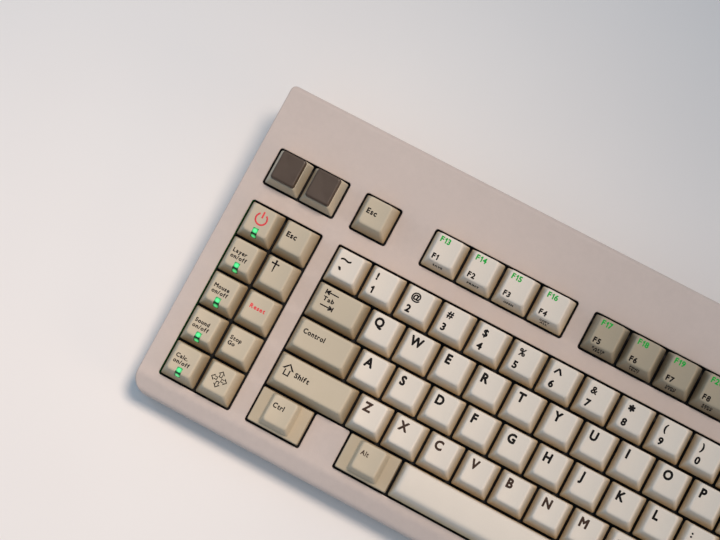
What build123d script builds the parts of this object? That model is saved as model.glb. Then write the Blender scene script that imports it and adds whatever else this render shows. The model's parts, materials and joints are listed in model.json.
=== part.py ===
"""Full-size mechanical keyboard with a left function block, millimetres, +Z up.

The key field is laid out on a flat inclined plane. Everything that sits in the key field is modelled in
that plane's own coordinates (x to the right, y to the rear, z square to the plate, zero on the plate's
upper face) and then lifted and inclined onto the desk. The origin is on the desk under the middle.
"""
import os
from math import cos, radians, sin, sqrt

from build123d import *

# ---- driving dimensions ---------------------------------------------------------------------------
UNIT = 19.05             # key pitch
TYPING_ANGLE = 6.0       # inclination of the key field, degrees
PLATE_HEIGHT = 20.6      # plate upper face above the desk, at the middle of the key field
FIELD_SHIFT = 0.4        # rearward shift that centres the housing on the origin
WIDTH = 506.0            # housing, left to right
DEPTH = 166.4            # housing, front to rear
FIELD_MIDDLE_X = 10.25   # middle of the housing, in key units right of the main block's left edge
FIELD_MIDDLE_Y = 1.255   # middle of the housing, in key units in front of the number row's rear edge

WALL = 2.5               # housing wall
UNDERSIDE = 1.5          # housing underside above the desk
PARTING = 9.5            # height of the joint between the two housing halves
CASE_TOP = 6.0           # housing surface above the plate
OPENING_MARGIN = 0.45    # opening edge outside the key pitch lines
OPENING_RADIUS = 1.4
FRONT_CORNER = 8.0       # housing corner radii seen from above
REAR_CORNER = 3.5
NOSE_DROP = 4.2          # fall of the front slope
NOSE_CUT = 0.43          # how far the rounding of the nose cuts its corner back
NOSE_SET_BACK = 2.2      # front face leans back by this much toward the desk

PLATE_THICKNESS = 1.5
BOARD_TOP = -5.0         # circuit board upper face
BOARD_THICKNESS = 1.6
CUTOUT = 14.0            # switch cutout in the plate
TRAVEL = 4.0             # key travel

CAP_BASE = 6.3           # skirt of a key cap above the plate, at rest
CAP_GAP = 0.95           # gap between neighbouring caps
CAP_WALL = 1.4
CAP_ROOF = 1.5
FACE_INSET = 2.9         # side inset of the top face
DISH_DEPTH = 0.6
POST_RADIUS = 2.75
POST_FOOT = 0.4          # foot of a post above the base of its skirt
LAMP_WINDOW = 3.2        # width of the window in a lamp key

# sculpted rows: middle height of the top face, its slope (rear edge up), rear inset, front inset
ROW_SHAPES = {
    "tall": (9.9, 5.0, 0.9, 3.15),
    "upper": (8.7, 3.0, 0.7, 3.35),
    "home": (8.2, -1.0, 0.7, 3.35),
    "lower": (8.6, -5.0, 0.6, 3.45),
}

STABILISER_SHORT = 11.9  # half distance between stabiliser sliders
STABILISER_SPACE = 57.15

# ---- key layout, key units right of and in front of the main block's corner -------------------------
F_ROW = -1.5


def row_of_keys(first, count, y, shape):
    """Neighbouring keys one unit wide."""
    return [(first + i, y, 1.0, 1.0, shape) for i in range(count)]


BLOCK_ROWS = [(0, "tall"), (1, "upper"), (2, "home"), (3, "lower"), (4, "lower")]

KEYS = {
    "left_blank_key": [(-2.5, F_ROW, 1.0, 1.0, "blank")],
    "right_blank_key": [(-1.5, F_ROW, 1.0, 1.0, "blank")],
    "escape_key": [(0.0, F_ROW, 1.0, 1.0, "tall")],
    "first_function_keys": row_of_keys(2.0, 4, F_ROW, "tall"),
    "middle_function_keys": row_of_keys(6.5, 4, F_ROW, "tall"),
    "last_function_keys": row_of_keys(11.0, 4, F_ROW, "tall"),
    "system_keys": row_of_keys(15.5, 3, F_ROW, "tall"),
    "number_row_keys": row_of_keys(0.0, 13, 0.0, "tall"),
    "backspace_key": [(13.0, 0.0, 2.0, 1.0, "tall")],
    "tab_key": [(0.0, 1.0, 1.5, 1.0, "upper")],
    "upper_letter_keys": row_of_keys(1.5, 12, 1.0, "upper"),
    "backslash_key": [(13.5, 1.0, 1.5, 1.0, "upper")],
    "control_key": [(0.0, 2.0, 1.75, 1.0, "home")],
    "home_letter_keys": row_of_keys(1.75, 11, 2.0, "home"),
    "enter_key": [(12.75, 2.0, 2.25, 1.0, "home")],
    "left_shift_key": [(0.0, 3.0, 2.25, 1.0, "lower")],
    "lower_letter_keys": row_of_keys(2.25, 10, 3.0, "lower"),
    "right_shift_key": [(12.25, 3.0, 2.75, 1.0, "lower")],
    "left_ctrl_key": [(0.0, 4.0, 1.5, 1.0, "stepped")],
    "left_alt_key": [(2.5, 4.0, 1.5, 1.0, "stepped")],
    "space_bar": [(4.0, 4.0, 7.0, 1.0, "lower")],
    "right_alt_key": [(11.0, 4.0, 1.5, 1.0, "stepped")],
    "right_ctrl_key": [(13.5, 4.0, 1.5, 1.0, "stepped")],
    "editing_keys": row_of_keys(15.5, 3, 0.0, "tall") + row_of_keys(15.5, 3, 1.0, "upper"),
    "up_arrow_key": [(16.5, 3.0, 1.0, 1.0, "lower")],
    "left_arrow_key": [(15.5, 4.0, 1.0, 1.0, "lower")],
    "down_arrow_key": [(16.5, 4.0, 1.0, 1.0, "lower")],
    "right_arrow_key": [(17.5, 4.0, 1.0, 1.0, "lower")],
    "number_pad_keys": (
        row_of_keys(19.0, 4, 0.0, "tall")
        + row_of_keys(19.0, 3, 1.0, "upper")
        + row_of_keys(19.0, 3, 2.0, "home")
        + row_of_keys(19.0, 3, 3.0, "lower")
        + row_of_keys(21.0, 1, 4.0, "lower")
    ),
    "pad_plus_key": [(22.0, 1.0, 1.0, 2.0, "home")],
    "pad_enter_key": [(22.0, 3.0, 1.0, 2.0, "lower")],
    "pad_zero_key": [(19.0, 4.0, 2.0, 1.0, "lower")],
}
for number, (row, shape) in enumerate(BLOCK_ROWS, start=1):
    KEYS[f"lamp_key_{number}"] = [(-2.5, float(row), 1.0, 1.0, "lamp_" + shape)]
    KEYS[f"block_key_{number}"] = [(-1.5, float(row), 1.0, 1.0, shape)]

# rectangular groups of keys that share one opening in the housing: left, rear, right, front
OPENINGS = [
    (-2.5, F_ROW, -0.5, F_ROW + 1),
    (0.0, F_ROW, 1.0, F_ROW + 1),
    (2.0, F_ROW, 6.0, F_ROW + 1),
    (6.5, F_ROW, 10.5, F_ROW + 1),
    (11.0, F_ROW, 15.0, F_ROW + 1),
    (15.5, F_ROW, 18.5, F_ROW + 1),
    (-2.5, 0.0, -0.5, 5.0),
    (15.5, 0.0, 18.5, 2.0),
    (19.0, 0.0, 23.0, 5.0),
]

# screws that hold the plate to the posts of the lower housing
PLATE_SCREWS = [
    (-0.25, 0.5), (-0.25, 4.5), (15.25, 0.5), (15.25, 4.5),
    (18.75, 0.5), (18.75, 4.5), (6.25, -0.25), (10.75, -0.25),
]
# screws that join the two housing halves, world x and y
CASE_SCREWS = [(x, y) for x in (-236.0, -118.0, 0.0, 118.0, 236.0) for y in (-75.5, 68.0)]

FOOT_X = 190.0           # tilt feet left and right of the middle
FOOT_HINGE_Y = 72.0
FOOT_HINGE_Z = 4.6
SOCKET_X = 150.0
SOCKET_Z = 14.1


# ---- placing ----------------------------------------------------------------------------------------
def field_x(units):
    return (units - FIELD_MIDDLE_X) * UNIT


def field_y(units):
    return (FIELD_MIDDLE_Y - units) * UNIT


def centre(key):
    """Middle of a key in the plane of the key field."""
    x, y, w, d, shape = key
    return field_x(x + w / 2), field_y(y + d / 2)


INCLINE = Pos(0, FIELD_SHIFT, PLATE_HEIGHT) * Rot(TYPING_ANGLE, 0, 0)


def on_field(x, y, z=0.0, turn=0.0):
    """Location on the inclined key field."""
    return INCLINE * Pos(x, y, z) * Rot(0, 0, turn)


def desk_point(y, z):
    """World y and z of a point of the key field's side view."""
    angle = radians(TYPING_ANGLE)
    world_y = FIELD_SHIFT + y * cos(angle) - z * sin(angle)
    world_z = PLATE_HEIGHT + y * sin(angle) + z * cos(angle)
    return world_y, world_z


def block(x0, x1, y0, y1, z0, z1):
    """Box between two corners."""
    return Pos((x0 + x1) / 2, (y0 + y1) / 2, (z0 + z1) / 2) * Box(x1 - x0, y1 - y0, z1 - z0)


def rod(radius, x, y, z0, z1):
    """Upright cylinder."""
    return Pos(x, y, (z0 + z1) / 2) * Cylinder(radius, z1 - z0)


def bodies(shape):
    return shape.solids()


os.makedirs("parts", exist_ok=True)


def save(name, shapes):
    """One file per node, every physical piece its own solid."""
    solids = []
    for shape in shapes:
        solids.extend(bodies(shape))
    for index, solid in enumerate(solids):
        solid.label = f"{name}_{index + 1}"
    export_step(Compound(label=name, children=solids), f"parts/{name}.step")
    print(name, len(solids))


ALL_KEYS = [key for keys in KEYS.values() for key in keys]


def stabilisers(key):
    """Slider offsets of a long key, and the turn of its stabiliser."""
    x, y, w, d, shape = key
    if w >= 7.0:
        return [-STABILISER_SPACE, STABILISER_SPACE], 0.0
    if w >= 2.0:
        return [-STABILISER_SHORT, STABILISER_SHORT], 0.0
    if d >= 2.0:
        return [-STABILISER_SHORT, STABILISER_SHORT], 90.0
    return [], 0.0


# ---- switches ---------------------------------------------------------------------------------------
def lower_housing():
    body = block(-7.8, 7.8, -7.8, 7.8, 0, 0.9) + block(-6.9, 6.9, -6.9, 6.9, -5.0, 0)
    body += rod(1.95, 0, 0, -8.0, -5.0)
    body -= block(-4.8, 4.8, -4.0, 4.0, -3.9, 0.9)
    body -= block(-3.5, 3.5, 4.7, 6.2, -4.0, 0.9)
    body -= block(-2.0, 2.0, -6.9, -4.9, -5.0, 0.9)
    body -= block(-3.1, -1.9, 4.75, 5.65, -5.0, -4.0)
    body -= block(1.9, 3.1, 5.25, 6.15, -5.0, -4.0)
    body += rod(1.4, 0, 0, -3.9, 0.4)
    return body


def upper_housing():
    foot = Pos(0, 0, 0.9) * Rectangle(14.0, 14.0)
    crown = Pos(0, 0, 6.6) * Rectangle(10.6, 10.6)
    body = loft([foot, crown])
    body -= block(-4.8, 4.8, -4.0, 4.0, 0.9, 5.6)
    body -= block(-3.7, 3.7, -3.1, 3.1, 5.6, 6.6)
    body -= block(-3.5, 3.5, 4.7, 6.2, 0.9, 1.6)
    body -= block(-2.0, 2.0, -7.2, -4.9, 0.9, 6.6)
    return body


def cross(half_long, half_thick, z0, z1):
    return (
        block(-half_long, half_long, -half_thick, half_thick, z0, z1)
        + block(-half_thick, half_thick, -half_long, half_long, z0, z1)
    )


def slider():
    """Moving stem of a switch, hollow below for the spring."""
    body = block(-4.5, 4.5, -3.7, 3.7, 1.6, 5.5) + block(-3.4, 3.4, -2.8, 2.8, 5.5, 6.6)
    body -= rod(2.75, 0, 0, 1.6, 4.9)
    return body + cross(2.0, 0.6, 6.6, 10.2)


def spring():
    """Coil spring round the post, at its pressed length."""
    path = Helix(pitch=0.8, height=4.0, radius=2.1)
    start = path @ 0
    plane = Plane(origin=start, x_dir=(1, 0, 0), z_dir=path % 0)
    coil = sweep(plane * Rectangle(0.36, 0.36), path=path, is_frenet=True)
    return Pos(0, 0, -3.6) * coil


def contacts():
    """Fixed and moving contact leaf, each with its solder pin."""
    pin_low = BOARD_TOP - BOARD_THICKNESS - 1.2
    rear_leaf = block(-3.2, 3.2, 5.55, 5.85, -3.9, 0.5) + block(2.1, 2.9, 5.55, 5.85, pin_low, -3.9)
    front_leaf = block(-3.2, 3.2, 5.05, 5.35, -3.9, 0.2) + block(-2.9, -2.1, 5.05, 5.35, pin_low, -3.9)
    return [rear_leaf, front_leaf]


def stabiliser_housing():
    """Guide of a stabiliser slider, low enough to clear the pressed cap's post."""
    top = POST_FOOT + CAP_BASE - TRAVEL - 0.5
    return block(-3.3, 3.3, -6.1, 6.1, -5.0, top) - block(-2.5, 2.5, -3.0, 3.0, -3.9, top)


def stabiliser_slider():
    return block(-2.2, 2.2, -2.7, 2.7, 0.2, 6.6) + cross(2.0, 0.6, 6.6, 10.2)


def stabiliser_wire(half):
    """Bar beside the switch with a short arm toward each stabiliser housing."""
    bar = Pos(0, -8.0, -3.2) * Rot(0, 90, 0) * Cylinder(0.75, 2 * half)
    for side in (-half, half):
        bar += block(side - 0.6, side + 0.6, -8.0, -6.4, -3.8, -2.6)
    return bar


# ---- key caps ---------------------------------------------------------------------------------------
def face_plane(shape, d, drop=0.0):
    """Place of the top face of a cap, midway between the rear and front insets."""
    height, slope, rear, front = ROW_SHAPES[shape]
    middle = (front - rear) / 2
    return Plane(origin=(0, middle, height - drop)) * Rot(slope, 0, 0)


def cap_outside(w, d, shape):
    """Sloping sides between the skirt and the top face."""
    height, slope, rear, front = ROW_SHAPES[shape]
    face_w = w - 2 * FACE_INSET
    face_d = (d - rear - front) / cos(radians(slope))
    skirt = RectangleRounded(w, d, 0.7)
    face = face_plane(shape, d) * RectangleRounded(face_w, face_d, 1.6)
    return loft([skirt, face.face()], ruled=True)


def cap_inside(w, d, shape):
    height, slope, rear, front = ROW_SHAPES[shape]
    face_w = w - 2 * FACE_INSET - 2 * CAP_WALL
    face_d = d - rear - front - 2 * CAP_WALL
    skirt = Rectangle(w - 2 * CAP_WALL, d - 2 * CAP_WALL)
    face = face_plane(shape, d, CAP_ROOF + DISH_DEPTH) * Rectangle(face_w, face_d)
    return loft([skirt, face.face()], ruled=True)


def dish(w, d, shape):
    """Hollow of the top face, a shallow trough running front to rear."""
    half = w / 2 - FACE_INSET
    radius = (half * half + DISH_DEPTH * DISH_DEPTH) / (2 * DISH_DEPTH)
    trough = Pos(0, 0, radius - DISH_DEPTH) * Rot(90, 0, 0) * Cylinder(radius, d + 10)
    return face_plane(shape, d) * trough


def post(height):
    return rod(POST_RADIUS, 0, 0, POST_FOOT, height) - cross(2.05, 0.65, POST_FOOT, 3.95)


def lamp_window(shape):
    """Region of the window of a lamp key, over the front edge of the top face."""
    height, slope, rear, front = ROW_SHAPES[shape]
    edge = -(UNIT - CAP_GAP) / 2 + front
    half = LAMP_WINDOW / 2
    return block(-half, half, edge - 2.6, edge + 2.8, height - 4.6, height + 2.0)


def cap(key):
    """Cap of one key with its separate inserts, base of the skirt at zero."""
    x, y, wide, deep, shape = key
    w = wide * UNIT - CAP_GAP
    d = deep * UNIT - CAP_GAP
    lamp = shape.startswith("lamp_")
    if lamp:
        shape = shape[5:]
    extra = []
    if shape == "blank":
        height = 6.9
        rim = Pos(0, 0.9, height) * RectangleRounded(13.4, 15.2, 1.4)
        outside = loft([RectangleRounded(w, d, 0.7), rim], ruled=True)
        inner_rim = Pos(0, 0.9, height - CAP_ROOF) * Rectangle(10.6, 12.4)
        inside = loft([Rectangle(w - 2 * CAP_WALL, d - 2 * CAP_WALL), inner_rim], ruled=True)
        shell = outside - inside
        lid_foot = Pos(0, 1.0, height) * RectangleRounded(12.9, 14.8, 1.2)
        lid_top = Pos(0, 1.1, height + 3.0) * RectangleRounded(11.6, 13.6, 1.0)
        extra.append(loft([lid_foot, lid_top], ruled=True))
        ceiling = height - 0.5
    elif shape == "stepped":
        narrow = UNIT - CAP_GAP
        low = loft([RectangleRounded(w, d, 0.7), Pos(0, 0, 3.0) * RectangleRounded(w - 0.8, d - 0.8, 0.7)])
        tower = cap_outside(narrow, d, "lower") - dish(narrow, d, "lower")
        hollow = Pos(0, 0, 0.7) * Box(w - 2 * CAP_WALL - 0.6, d - 2 * CAP_WALL - 0.6, 1.4)
        shell = low + tower - hollow - cap_inside(narrow, d, "lower")
        ceiling = ROW_SHAPES["lower"][0] - CAP_ROOF
    else:
        shell = cap_outside(w, d, shape)
        if wide < 7.0:
            shell -= dish(w, d, shape)
        shell -= cap_inside(w, d, shape)
        ceiling = ROW_SHAPES[shape][0] - CAP_ROOF - 0.2
    if lamp:
        region = lamp_window(shape)
        extra.append((shell & region).solids().sort_by(SortBy.VOLUME)[-1])
        shell -= region
    offsets, turn = stabilisers(key)
    shell += post(ceiling)
    for offset in offsets:
        shell += Rot(0, 0, turn) * Pos(offset, 0, 0) * post(ceiling)
    return [shell] + extra


# ---- plates with many holes -------------------------------------------------------------------------
def sheet(outline, holes, z0, thickness):
    """Flat sheet with straight holes, made in one step."""
    face = Face(outline, holes)
    return Pos(0, 0, z0) * Solid.extrude(face, Vector(0, 0, thickness))


def rect_wire(x0, x1, y0, y1):
    return Wire.make_polygon([(x0, y0, 0), (x1, y0, 0), (x1, y1, 0), (x0, y1, 0)], close=True)


def round_wire(x, y, radius):
    return Wire.make_circle(radius, Plane(origin=(x, y, 0)))


PLATE_LEFT = field_x(-2.5) - 2.5
PLATE_RIGHT = field_x(23.0) + 2.5
PLATE_REAR = field_y(F_ROW) + 2.5
PLATE_FRONT = field_y(5.0) - 0.6


def plate():
    holes = []
    for key in ALL_KEYS:
        x, y = centre(key)
        half = CUTOUT / 2
        holes.append(rect_wire(x - half, x + half, y - half, y + half))
        offsets, turn = stabilisers(key)
        for offset in offsets:
            if turn:
                holes.append(rect_wire(x - 6.2, x + 6.2, y + offset - 3.4, y + offset + 3.4))
            else:
                holes.append(rect_wire(x + offset - 3.4, x + offset + 3.4, y - 6.2, y + 6.2))
    for x, y in PLATE_SCREWS:
        holes.append(round_wire(field_x(x), field_y(y), 1.8))
    outline = rect_wire(PLATE_LEFT, PLATE_RIGHT, PLATE_FRONT, PLATE_REAR)
    return sheet(outline, holes, -PLATE_THICKNESS, PLATE_THICKNESS)


def circuit_board():
    holes = []
    for key in ALL_KEYS:
        x, y = centre(key)
        holes.append(round_wire(x, y, 2.3))
        holes.append(rect_wire(x - 3.1, x - 1.9, y + 4.75, y + 5.65))
        holes.append(rect_wire(x + 1.9, x + 3.1, y + 5.25, y + 6.15))
    for x, y in PLATE_SCREWS:
        holes.append(round_wire(field_x(x), field_y(y), 3.4))
    outline = rect_wire(PLATE_LEFT + 2, PLATE_RIGHT - 2, PLATE_FRONT + 1, PLATE_REAR - 2)
    return sheet(outline, holes, BOARD_TOP - BOARD_THICKNESS, BOARD_THICKNESS)


# ---- housing ----------------------------------------------------------------------------------------
def side_profile():
    """Side view of the housing."""
    rear = DEPTH / 2
    front = -DEPTH / 2 - NOSE_CUT
    crease = desk_point(field_y(5.2), CASE_TOP)
    slope = sin(radians(TYPING_ANGLE)) / cos(radians(TYPING_ANGLE))
    rear_height = crease[1] + (rear - crease[0]) * slope
    points = [
        (rear, UNDERSIDE),
        (rear, rear_height),
        crease,
        (front, crease[1] - NOSE_DROP),
        (front + NOSE_SET_BACK, UNDERSIDE),
    ]
    outline = Polyline(*points, close=True)
    return points, make_face(outline)


def near(vertices, point):
    return sorted(vertices, key=lambda v: (v.X - point[0]) ** 2 + (v.Y - point[1]) ** 2)[0]


def rounded_profile(inset):
    points, face = side_profile()
    if inset:
        shrunk = offset(face, amount=-inset, kind=Kind.INTERSECTION)
        face = shrunk.face()
    corners = face.vertices()
    radii = [1.0, 2.5, 9.0, 4.0, 1.0]
    for point, radius in zip(points, radii):
        size = max(radius - inset, 0.5)
        corner = near(face.vertices(), point)
        face = fillet([corner], size).face()
    return face


def side_solid(face, half_width):
    """Extrude a side view across the width."""
    return Plane(origin=(-half_width, 0, 0), x_dir=(0, 1, 0), z_dir=(1, 0, 0)) * extrude(face, 2 * half_width)


def plan(inset):
    """Outline seen from above, as a tall prism."""
    w = WIDTH / 2 - inset
    d = DEPTH / 2 - inset
    face = Rectangle(2 * w, 2 * d).face()
    for x, y, radius in [(-w, -d, FRONT_CORNER), (w, -d, FRONT_CORNER), (-w, d, REAR_CORNER), (w, d, REAR_CORNER)]:
        face = fillet([near(face.vertices(), (x, y))], max(radius - inset, 1.0)).face()
    return extrude(face, 60)


def case_outside():
    body = side_solid(rounded_profile(0), WIDTH / 2) & plan(0)
    return body


def case_inside():
    return side_solid(rounded_profile(WALL), WIDTH / 2 - WALL) & plan(WALL)


def opening(left, rear, right, front):
    """Prism through the housing surface, in key field coordinates."""
    x0 = field_x(left) - OPENING_MARGIN
    x1 = field_x(right) + OPENING_MARGIN
    y0 = field_y(front) - OPENING_MARGIN
    y1 = field_y(rear) + OPENING_MARGIN
    face = Pos((x0 + x1) / 2, (y0 + y1) / 2, 1.5) * RectangleRounded(x1 - x0, y1 - y0, OPENING_RADIUS)
    return INCLINE * extrude(face, 12.0)


def outline_opening(points):
    """Prism through the housing surface for a stepped outline of keys."""
    corners = [(field_x(x), field_y(y)) for x, y in points]
    face = make_face(Polyline(*corners, close=True))
    face = offset(face, amount=OPENING_MARGIN, kind=Kind.INTERSECTION).face()
    face = fillet(face.vertices(), OPENING_RADIUS - 0.4)
    return INCLINE * extrude(Pos(0, 0, 1.5) * face, 12.0)


MAIN_OUTLINE = [
    (0.0, 0.0), (15.0, 0.0), (15.0, 5.0), (13.5, 5.0), (13.5, 4.0), (12.5, 4.0), (12.5, 5.0),
    (2.5, 5.0), (2.5, 4.0), (1.5, 4.0), (1.5, 5.0), (0.0, 5.0),
]
ARROW_OUTLINE = [
    (16.5, 3.0), (17.5, 3.0), (17.5, 4.0), (18.5, 4.0), (18.5, 5.0), (15.5, 5.0), (15.5, 4.0), (16.5, 4.0),
]


def boss_height(y):
    """Height of the housing's inner surface above the desk at world y."""
    top_y, top_z = desk_point(0, CASE_TOP - WALL)
    slope = sin(radians(TYPING_ANGLE)) / cos(radians(TYPING_ANGLE))
    return top_z + (y - top_y) * slope


def foot_pocket(x):
    return block(x - 17, x + 17, 50, 76, UNDERSIDE - 1, 8.0)


def screw(x, y, z0, length, head_radius, head_height, shank_radius):
    """Screw with its head below and its shank pointing up, with a hexagon socket."""
    head = rod(head_radius, x, y, z0, z0 + head_height)
    shank = rod(shank_radius, x, y, z0 + head_height, z0 + head_height + length)
    socket = Pos(x, y, z0) * extrude(RegularPolygon(head_radius * 0.5, 6), head_height * 0.6)
    return head + shank - socket


# heights of the screws that join the halves
SEAT = 5.5               # underside of the bosses
SCREW_RADIUS = 1.4


def housings():
    outside = case_outside()
    inside = case_inside()
    shell = outside - inside
    top = shell & block(-300, 300, -120, 120, PARTING, 80)
    bottom = shell & block(-300, 300, -120, 120, -5, PARTING)

    cutters = [opening(*box) for box in OPENINGS]
    cutters.append(outline_opening(MAIN_OUTLINE))
    cutters.append(outline_opening(ARROW_OUTLINE))
    for cutter in cutters:
        top -= cutter
    # bosses that take the case screws
    for x, y in CASE_SCREWS:
        ceiling = boss_height(y) + (0.8 if y > 0 else -0.2)
        if y < 0:
            ceiling = 15.5
        top += rod(3.2, x, y, SEAT, ceiling)
        top -= rod(SCREW_RADIUS + 0.3, x, y, SEAT - 1, SEAT + 7.5)
    # opening for the cable socket
    top -= block(SOCKET_X - 6.3, SOCKET_X + 6.3, DEPTH / 2 - WALL - 1, DEPTH / 2 + 1, SOCKET_Z - 3.5, SOCKET_Z + 3.5)

    # bearing surfaces round the case screws, with a well for each head
    floor = UNDERSIDE + WALL
    for x, y in CASE_SCREWS:
        bottom += rod(4.6, x, y, floor - 0.2, SEAT)
        bottom -= rod(3.4, x, y, UNDERSIDE - 1, 3.9)
        bottom -= rod(SCREW_RADIUS + 0.3, x, y, 3.5, SEAT + 1)
    # posts that carry the plate
    for x, y in PLATE_SCREWS:
        foot_y, foot_z = desk_point(field_y(y), -PLATE_THICKNESS)
        column = Pos(field_x(x), field_y(y), -PLATE_THICKNESS - 12.0) * Cylinder(3.0, 24.0)
        column = (INCLINE * column) & block(-300, 300, -120, 120, floor - 0.5, 60)
        bore = Pos(field_x(x), field_y(y), -PLATE_THICKNESS - 4.0) * Cylinder(1.5, 8.2)
        bottom += column
        bottom -= INCLINE * bore
    # pockets and hinge holes for the tilt feet
    for x in (-FOOT_X, FOOT_X):
        bottom += block(x - 20, x + 20, 47.5, 78.5, UNDERSIDE + 0.5, 9.4)
        bottom -= foot_pocket(x)
        pin = Pos(x, FOOT_HINGE_Y, FOOT_HINGE_Z) * Rot(0, 90, 0) * Cylinder(1.8, 39)
        bottom -= pin
    # seats for the rubber feet
    for x0, x1, y0, y1 in RUBBER_FEET:
        bottom -= block(x0, x1, y0, y1, UNDERSIDE - 1, UNDERSIDE + 0.8)
    # posts under the socket board
    for side in (-7.5, 7.5):
        bottom += block(SOCKET_X + side - 2, SOCKET_X + side + 2, 69, 73, floor - 0.5, 10.9)
    return top, bottom


RUBBER_FEET = [
    (-222.0, -182.0, -68.0, -58.0),
    (182.0, 222.0, -68.0, -58.0),
    (-222.0, -208.0, 34.0, 44.0),
    (208.0, 222.0, 34.0, 44.0),
    (-20.0, 20.0, -68.0, -58.0),
]


def tilt_foot(x):
    """Flip-out foot, folded flat in its pocket, with its two hinge pins."""
    arm = block(x - 16.4, x + 16.4, 53.0, FOOT_HINGE_Y, FOOT_HINGE_Z - 2.4, FOOT_HINGE_Z + 2.4)
    barrel = Pos(x, FOOT_HINGE_Y, FOOT_HINGE_Z) * Rot(0, 90, 0) * Cylinder(2.4, 32.8)
    pins = Pos(x, FOOT_HINGE_Y, FOOT_HINGE_Z) * Rot(0, 90, 0) * Cylinder(1.45, 38)
    window = block(x - 11, x + 11, 57.0, 66.5, FOOT_HINGE_Z - 3, FOOT_HINGE_Z + 1.0)
    return arm + barrel + pins - window


# ---- build and save ---------------------------------------------------------------------------------
top_case, bottom_case = housings()
save("top_case", [top_case])
save("bottom_case", [bottom_case])
save("switch_plate", [INCLINE * plate()])
save("circuit_board", [INCLINE * circuit_board()])

LOWER = lower_housing()
UPPER = upper_housing()
SLIDER = slider()
SPRING = spring()
CONTACTS = contacts()
save("switch_lower_housings", [on_field(*centre(key)) * LOWER for key in ALL_KEYS])
save("switch_upper_housings", [on_field(*centre(key)) * UPPER for key in ALL_KEYS])
save("switch_springs", [on_field(*centre(key)) * SPRING for key in ALL_KEYS])
save("switch_contacts", [on_field(*centre(key)) * leaf for key in ALL_KEYS for leaf in CONTACTS])

housings_made = []
wires_made = []
for key in ALL_KEYS:
    offsets, turn = stabilisers(key)
    if offsets:
        place = on_field(*centre(key), turn=turn)
        wires_made.append(place * stabiliser_wire(offsets[1]))
        housings_made.extend(place * Pos(shift, 0, 0) * stabiliser_housing() for shift in offsets)
save("stabiliser_housings", housings_made)
save("stabiliser_wires", wires_made)

lamp_keys = [key for key in ALL_KEYS if key[4].startswith("lamp_")]
lamp = block(-1.5, 1.5, -6.6, -5.1, 0.2, 4.2)
lamp += block(-1.2, -0.7, -6.1, -5.6, BOARD_TOP, 0.2) + block(0.7, 1.2, -6.1, -5.6, BOARD_TOP, 0.2)
save("indicator_lamps", [on_field(*centre(key)) * lamp for key in lamp_keys])

STABILISER_SLIDER = stabiliser_slider()
made = {}
for name, keys in KEYS.items():
    pieces = []
    for key in keys:
        kind = key[2:]
        if kind not in made:
            made[kind] = cap(key)
        place = on_field(*centre(key))
        raised = on_field(*centre(key), z=CAP_BASE)
        pieces.extend(raised * piece for piece in made[kind])
        pieces.append(place * SLIDER)
        offsets, turn = stabilisers(key)
        pieces.extend(place * Rot(0, 0, turn) * Pos(shift, 0, 0) * STABILISER_SLIDER for shift in offsets)
    save(name, pieces)

# screws of the plate point down into the posts
plate_screw = Rot(180, 0, 0) * screw(0, 0, -1.6, 6.6, 2.7, 1.6, 1.2)
save("plate_screws", [on_field(field_x(x), field_y(y)) * plate_screw for x, y in PLATE_SCREWS])
save("case_screws", [screw(x, y, 2.2, 8.5, 2.7, 1.7, SCREW_RADIUS) for x, y in CASE_SCREWS])
save("rubber_feet", [block(x0, x1, y0, y1, 0, UNDERSIDE + 0.8) for x0, x1, y0, y1 in RUBBER_FEET])
save("left_tilt_foot", [tilt_foot(-FOOT_X)])
save("right_tilt_foot", [tilt_foot(FOOT_X)])

# cable socket on its own small board, facing the rear
socket_rear = DEPTH / 2 - 0.8
shell = block(-4.5, 4.5, socket_rear - 7.4, socket_rear, -1.6, 1.6)
shell -= block(-4.15, 4.15, socket_rear - 6.4, socket_rear, -1.25, 1.25)
tongue = block(-3.3, 3.3, socket_rear - 6.4, socket_rear - 1.0, -0.35, 0.35)
place = Pos(SOCKET_X, 0, SOCKET_Z)
save("cable_socket", [place * (shell + tongue)])
save("socket_board", [block(SOCKET_X - 10, SOCKET_X + 10, 68.0, 80.2, 10.9, 12.5)])
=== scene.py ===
"""Looks of a full-size mechanical keyboard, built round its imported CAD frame.

Shapes are worked out in millimetres in the plane of the key field (x to the right, y to the rear, z square
to the switch plate) and placed in metres. Every key cap is its own mesh with its legends lying on it.
"""

import json
import math

import bmesh
import bpy
from mathutils import Matrix, Vector
from mathutils.geometry import delaunay_2d_cdt


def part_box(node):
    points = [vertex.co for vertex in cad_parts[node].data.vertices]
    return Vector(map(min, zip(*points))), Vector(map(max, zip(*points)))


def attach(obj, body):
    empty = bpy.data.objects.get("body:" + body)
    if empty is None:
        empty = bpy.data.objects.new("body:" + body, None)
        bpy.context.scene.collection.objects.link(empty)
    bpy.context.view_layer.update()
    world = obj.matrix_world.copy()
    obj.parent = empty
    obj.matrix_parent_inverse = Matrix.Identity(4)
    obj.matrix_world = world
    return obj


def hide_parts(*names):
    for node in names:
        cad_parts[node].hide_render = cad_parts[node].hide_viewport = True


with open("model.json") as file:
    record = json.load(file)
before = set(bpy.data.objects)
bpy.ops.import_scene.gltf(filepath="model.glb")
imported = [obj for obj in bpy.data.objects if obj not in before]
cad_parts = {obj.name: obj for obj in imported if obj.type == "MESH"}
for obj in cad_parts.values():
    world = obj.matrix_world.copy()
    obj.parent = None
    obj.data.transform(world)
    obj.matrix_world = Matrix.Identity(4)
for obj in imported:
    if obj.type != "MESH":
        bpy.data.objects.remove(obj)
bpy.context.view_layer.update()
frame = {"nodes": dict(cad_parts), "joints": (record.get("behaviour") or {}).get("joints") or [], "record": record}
NODES = frame["nodes"]
MM = 0.001

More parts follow.
